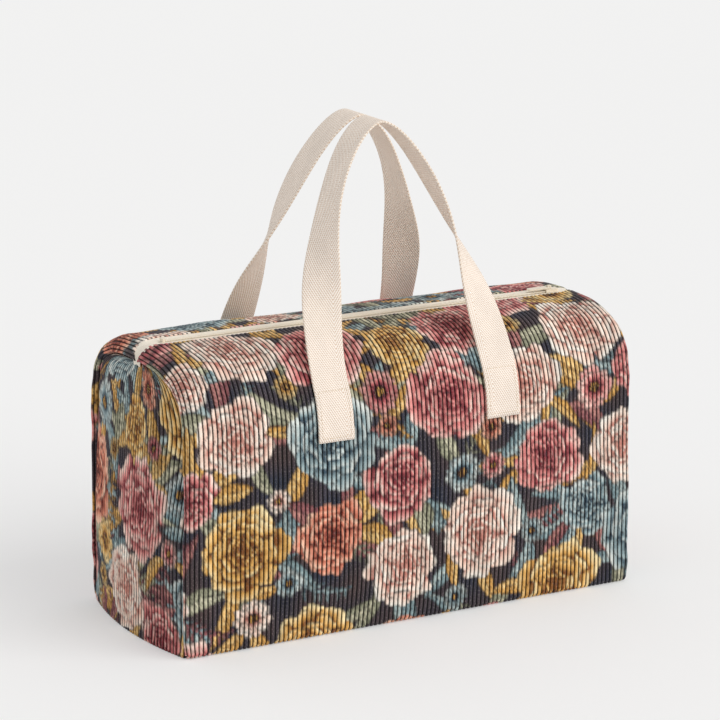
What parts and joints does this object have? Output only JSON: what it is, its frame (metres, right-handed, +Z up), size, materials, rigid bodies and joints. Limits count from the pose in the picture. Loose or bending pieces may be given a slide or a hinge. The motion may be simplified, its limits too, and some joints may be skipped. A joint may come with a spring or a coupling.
{
  "type": "corduroy holdall",
  "caption": "Soft box-shaped holdall in wide-rib printed corduroy, with rolled shoulders, a zip along the top with a sliding puller, and webbing loop handles.",
  "frame": {"origin": "middle of the base, on the surface the bag stands on", "axes": "+X along the length to the right as seen from the front, +Y from front to back, +Z up"},
  "size_m": [0.524, 0.2392, 0.488],
  "materials": {
    "corduroy": "wide-rib cotton corduroy with a floral print on a dark ground",
    "base_cloth": "dark cotton corduroy",
    "stiffener": "plain sheet",
    "webbing": "natural cotton herringbone webbing",
    "zip_tape": "woven tape",
    "zip_coil": "cream nylon coil",
    "zip_metal": "cream enamel"
  },
  "bodies": {
    "bag": {"front_panel": "corduroy", "back_panel": "corduroy", "left_end_panel": "corduroy", "right_end_panel": "corduroy", "base_panel": "base_cloth", "base_board": "stiffener", "front_handle": "webbing", "back_handle": "webbing", "zip_tape_front": "zip_tape", "zip_tape_back": "zip_tape", "zip_coil_front": "zip_coil", "zip_coil_back": "zip_coil", "zip_top_stops": "zip_metal", "zip_bottom_stop": "zip_metal"},
    "slider": {"zip_slider": "zip_metal"},
    "puller": {"zip_puller": "zip_metal"}
  },
  "joints": [
    {"name": "zip_slide", "type": "slide", "parent": "bag", "child": "slider", "axis": [1, 0, 0], "range_m": [-0.428, 0]},
    {"name": "puller_hinge", "type": "hinge", "parent": "slider", "child": "puller", "pos_m": [0.218, 0, 0.29012], "axis": [0, 1, 0], "range_deg": [0, 180]}
  ]
}
